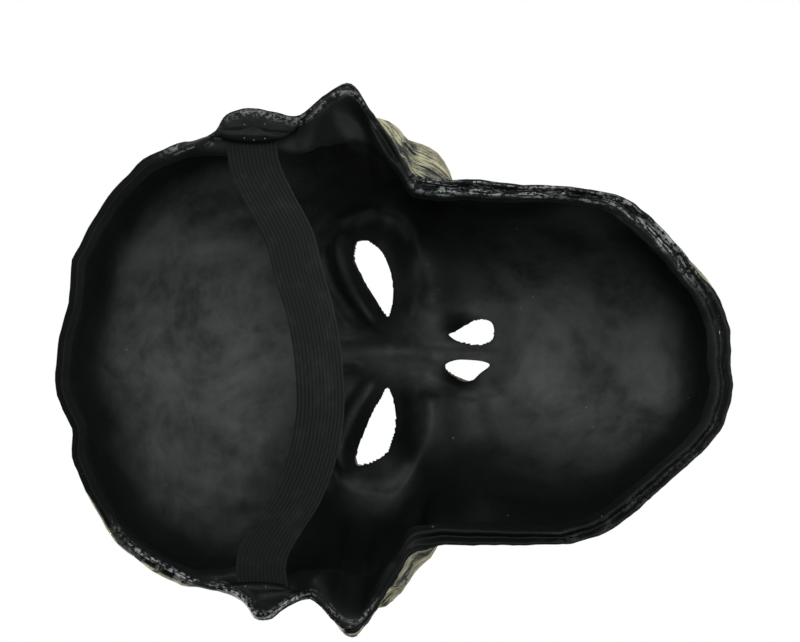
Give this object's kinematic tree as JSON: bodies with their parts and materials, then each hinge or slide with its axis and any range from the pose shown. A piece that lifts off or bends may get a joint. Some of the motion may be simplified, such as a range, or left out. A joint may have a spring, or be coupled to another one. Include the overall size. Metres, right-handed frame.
{
  "type": "latex mask",
  "caption": "Full-face latex skull mask, open at the back, with eye and nose openings and an elastic head strap held under stapled latex tabs.",
  "frame": {"origin": "on the mid-line at the height of the eye openings, in the plane of the rim's flat lip", "axes": "as worn: +Z to the crown, +Y to the back of the wearer's head, +X to the wearer's left"},
  "size_m": [0.2167, 0.159, 0.2721],
  "materials": {
    "latex_bone": "slip-cast black latex, painted bone on the outer side with a dark wash, bare and satin inside",
    "latex_black": "satin black latex with traces of bone paint",
    "elastic_black": "ribbed woven elastic, matt black",
    "staple_steel": "galvanised wire"
  },
  "bodies": {
    "mask": {"latex_skin": "latex_bone", "strap_end_left": "elastic_black", "strap_end_right": "elastic_black", "anchor_tab_left": "latex_black", "anchor_tab_right": "latex_black", "staple_left_outer": "staple_steel", "staple_left_inner": "staple_steel", "staple_right_outer": "staple_steel", "staple_right_inner": "staple_steel"},
    "strap_legs": {"strap_leg_left": "elastic_black", "strap_leg_right": "elastic_black"},
    "strap_middle": {"strap_middle": "elastic_black"}
  },
  "joints": [
    {"name": "strap_swing", "type": "hinge", "parent": "mask", "child": "strap_legs", "pos_m": [0, -0.00345, 0.048], "axis": [1, 0, 0], "range_deg": [-75, 100], "stiffness_Nm_per_rad": 0.02},
    {"name": "strap_stretch", "type": "slide", "parent": "strap_legs", "child": "strap_middle", "axis": [0, 0.788, -0.6157], "range_m": [0, 0.07], "stiffness_N_per_m": 50}
  ]
}
